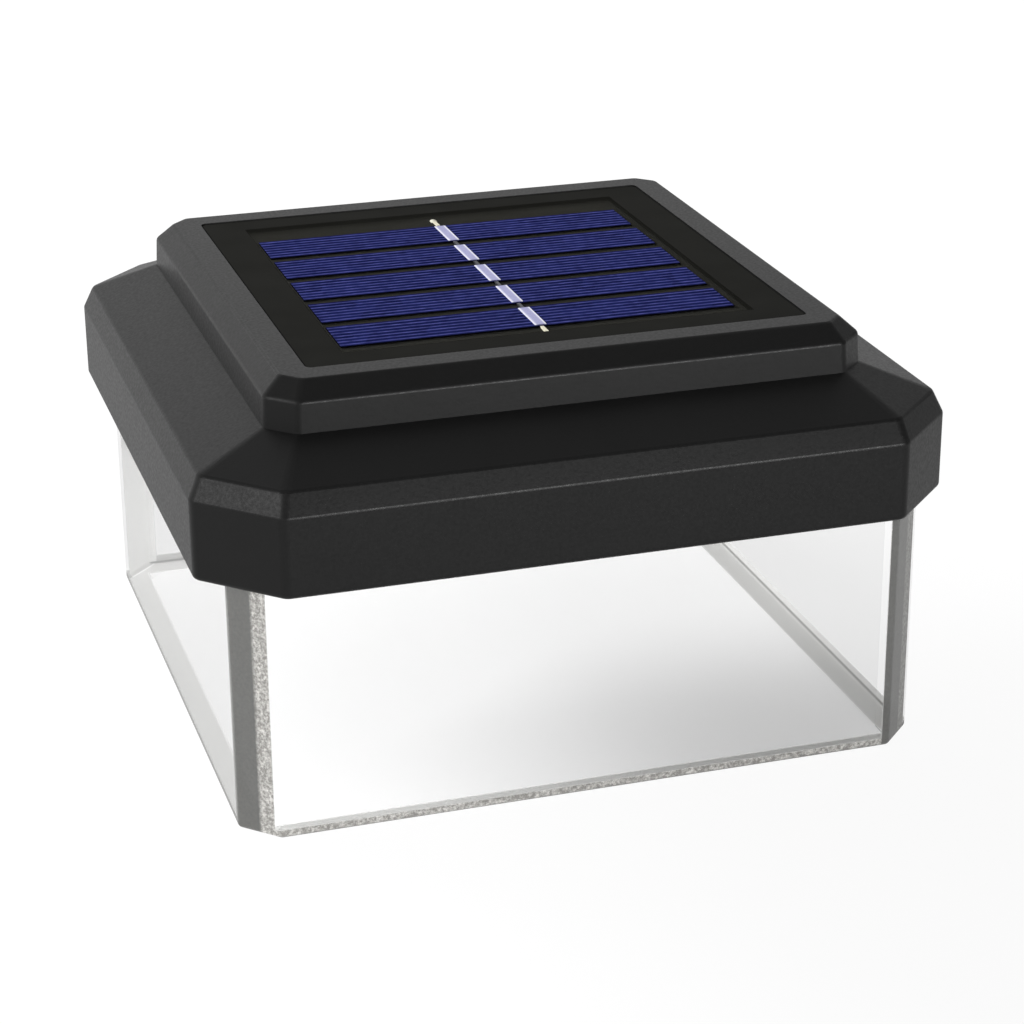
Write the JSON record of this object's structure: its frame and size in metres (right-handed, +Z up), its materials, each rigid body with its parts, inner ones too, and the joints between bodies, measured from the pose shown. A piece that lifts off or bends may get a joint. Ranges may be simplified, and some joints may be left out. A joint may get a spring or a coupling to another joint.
{
  "type": "solar post cap light",
  "caption": "Square post cap light: black hipped cap with a flush solar panel of blue strips, over a clear edge-lit skirt with frosted corners that slips over a square post.",
  "frame": {"origin": "centre of the skirt's bottom rim, in the rim's plane", "axes": "+Z up through the cap, front face towards -Y, solar strips lie along X"},
  "size_m": [0.11, 0.11, 0.0634],
  "materials": {
    "black_abs": "moulded, fine texture",
    "clear_acrylic": "polished, frosted corners and rim",
    "clear_laminate": "clear cast resin",
    "panel_black": "black lacquered laminate",
    "cell_silicon": "blue anti-reflection coat",
    "tinned_copper": "tinned",
    "brass_ribbon": "rolled ribbon",
    "foam_tape": "closed-cell foam",
    "silicone": "cut sheet",
    "stainless": "bright",
    "nickel_steel": "nickel plated",
    "sleeve_film": "shrunk film",
    "green_laminate": "solder resist",
    "white_laminate": "solder resist",
    "chip_epoxy": "moulded epoxy",
    "ferrite": "sintered",
    "capacitor_can": "drawn can",
    "slider_nylon": "moulded",
    "lamp_resin": "phosphor resin",
    "red_pvc": "extruded",
    "black_pvc": "extruded"
  },
  "bodies": {
    "housing": {"base_tray": "black_abs", "battery_cell": "nickel_steel", "battery_lead_black": "black_pvc", "battery_lead_red": "red_pvc", "battery_sleeve": "sleeve_film", "battery_spring": "nickel_steel", "board_screws": "stainless", "capacitor": "capacitor_can", "cell_busbars": "tinned_copper", "cell_ribbons": "brass_ribbon", "contact_minus": "nickel_steel", "contact_plus": "nickel_steel", "driver_board": "green_laminate", "driver_chip": "chip_epoxy", "inductor": "ferrite", "led_board": "white_laminate", "led_lead_black": "black_pvc", "led_lead_red": "red_pvc", "panel_board": "panel_black", "panel_cover": "clear_laminate", "panel_seal": "foam_tape", "post_pads": "foam_tape", "side_leds": "lamp_resin", "skirt": "clear_acrylic", "solar_cell_1": "cell_silicon", "solar_cell_2": "cell_silicon", "solar_cell_3": "cell_silicon", "solar_cell_4": "cell_silicon", "solar_cell_5": "cell_silicon", "solar_lead_black": "black_pvc", "solar_lead_red": "red_pvc", "switch_body": "nickel_steel", "top_cap": "black_abs", "tray_gasket": "silicone", "tray_screws": "stainless"},
    "door": {"battery_door": "black_abs"},
    "slider": {"switch_slider": "slider_nylon"}
  },
  "joints": [
    {"name": "battery_door_hinge", "type": "hinge", "parent": "housing", "child": "door", "pos_m": [0, -0.0107, 0.0401], "axis": [-1, 0, 0], "range_deg": [0, 95]},
    {"name": "switch_slide", "type": "slide", "parent": "housing", "child": "slider", "axis": [1, 0, 0], "range_m": [0, 0.002]}
  ]
}
